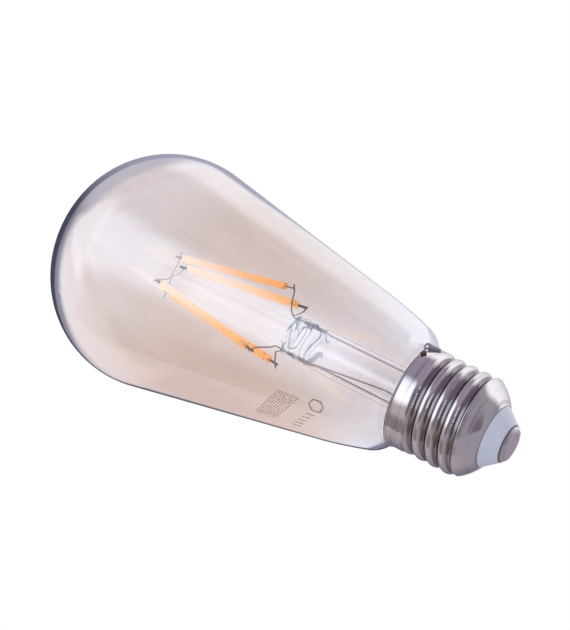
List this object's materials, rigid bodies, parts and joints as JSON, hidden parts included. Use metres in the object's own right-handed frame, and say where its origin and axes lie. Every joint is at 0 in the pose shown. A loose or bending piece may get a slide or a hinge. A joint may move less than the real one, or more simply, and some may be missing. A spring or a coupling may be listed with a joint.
{
  "type": "filament light bulb",
  "caption": "Long pear-shaped tinted glass filament lamp on a screw cap, with slim LED filaments round a glass pillar and a radio driver in the cap.",
  "frame": {"origin": "middle of the centre contact's outer face", "axes": "+Z along the lamp's axis, from the cap's contact towards the glass crown"},
  "size_m": [0.064, 0.064, 0.137],
  "materials": {
    "tinted_glass": "clear smoke-tinted blown glass",
    "clear_glass": "clear drawn glass",
    "lead_wire": "drawn nickel wire, slightly oxidised",
    "seal_wire": "oxidised sealing wire",
    "filament_tab": "stamped nickel strip",
    "warm_phosphor": "phosphor-filled silicone, deep orange",
    "pale_phosphor": "phosphor-filled silicone, paler orange",
    "strip_ceramic": "sintered translucent strip",
    "led_chip": "sapphire chip",
    "nickel_plate": "bright nickel plate",
    "insulator_plastic": "moulded insulator, blue-grey",
    "contact_metal": "stamped contact, satin",
    "cement": "cap cement",
    "solder": "run solder",
    "circuit_board": "solder mask",
    "chip_package": "moulded package",
    "capacitor_sleeve": "shrink sleeve",
    "ferrite": "sintered ferrite",
    "copper_winding": "enamelled copper",
    "resistor_coat": "lacquer",
    "chip_ceramic": "multilayer ceramic",
    "pin_plate": "gold flash",
    "sleeve_film": "insulating film"
  },
  "bodies": {
    "root": {"bridge_rectifier": "chip_package", "bulk_capacitor": "capacitor_sleeve", "cap_cement": "cement", "cap_insulator": "insulator_plastic", "cap_shell": "nickel_plate", "centre_contact": "contact_metal", "common_lead": "lead_wire", "common_lead_branch": "lead_wire", "cool_channel_lead": "lead_wire", "cool_crown_wire": "lead_wire", "driver_board": "circuit_board", "driver_chip": "chip_package", "driver_sleeve": "sleeve_film", "exhaust_tube": "clear_glass", "filament_1_led_chips": "led_chip", "filament_1_phosphor_coat": "warm_phosphor", "filament_1_strip": "strip_ceramic", "filament_2_led_chips": "led_chip", "filament_2_phosphor_coat": "pale_phosphor", "filament_2_strip": "strip_ceramic", "filament_3_led_chips": "led_chip", "filament_3_phosphor_coat": "warm_phosphor", "filament_3_strip": "strip_ceramic", "filament_4_led_chips": "led_chip", "filament_4_phosphor_coat": "pale_phosphor", "filament_4_strip": "strip_ceramic", "filament_end_tabs": "filament_tab", "fusible_resistor": "resistor_coat", "glass_envelope": "tinted_glass", "glass_pillar": "clear_glass", "inductor_core": "ferrite", "inductor_winding": "copper_winding", "live_wire": "lead_wire", "module_header_pins": "pin_plate", "neutral_wire": "lead_wire", "outer_common_lead": "lead_wire", "outer_cool_lead": "lead_wire", "outer_warm_lead": "lead_wire", "press_seal_wires": "seal_wire", "radio_antenna": "pin_plate", "radio_board": "circuit_board", "radio_chip": "chip_package", "radio_crystal": "seal_wire", "side_solder": "solder", "stem_tube": "clear_glass", "surface_capacitors": "chip_ceramic", "surface_resistors": "chip_package", "warm_channel_lead": "lead_wire", "warm_crown_wire": "lead_wire"}
  },
  "joints": []
}
